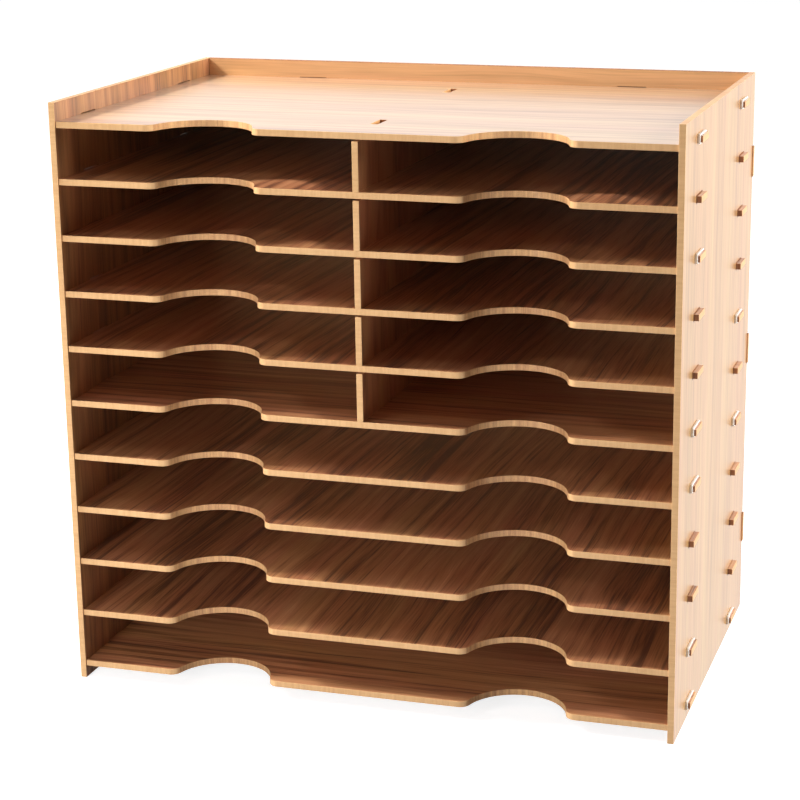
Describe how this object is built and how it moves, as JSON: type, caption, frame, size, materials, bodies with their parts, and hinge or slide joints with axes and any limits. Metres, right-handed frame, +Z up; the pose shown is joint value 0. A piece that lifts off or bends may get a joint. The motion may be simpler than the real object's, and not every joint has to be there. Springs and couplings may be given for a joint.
{
  "type": "desk paper sorter",
  "caption": "Open desk sorter for craft paper: thin tab-and-slot wood boards stacked as shelves, split above by dividers, with finger cut-outs and rubber rings on the tabs.",
  "frame": {"origin": "on the floor, in the middle of the outer box, tabs included", "axes": "+X to the right as seen from the open front, +Y to the back, +Z up"},
  "size_m": [0.508, 0.316, 0.478],
  "materials": {
    "wood_board": "satin wood-grain face on thin fibre board, with plain cut edges",
    "ring_rubber": "matt white rubber"
  },
  "bodies": {
    "root": {"side_panel_left": "wood_board", "side_panel_right": "wood_board", "back_panel": "wood_board", "top_board": "wood_board", "shelf_1": "wood_board", "shelf_2": "wood_board", "shelf_3": "wood_board", "shelf_4": "wood_board", "shelf_5": "wood_board", "shelf_6": "wood_board", "shelf_7": "wood_board", "shelf_8": "wood_board", "shelf_9": "wood_board", "bottom_board": "wood_board", "divider_1": "wood_board", "divider_2": "wood_board", "divider_3": "wood_board", "divider_4": "wood_board", "divider_5": "wood_board", "tab_rings_left": "ring_rubber", "tab_rings_right": "ring_rubber", "tab_rings_back": "ring_rubber"}
  },
  "joints": []
}
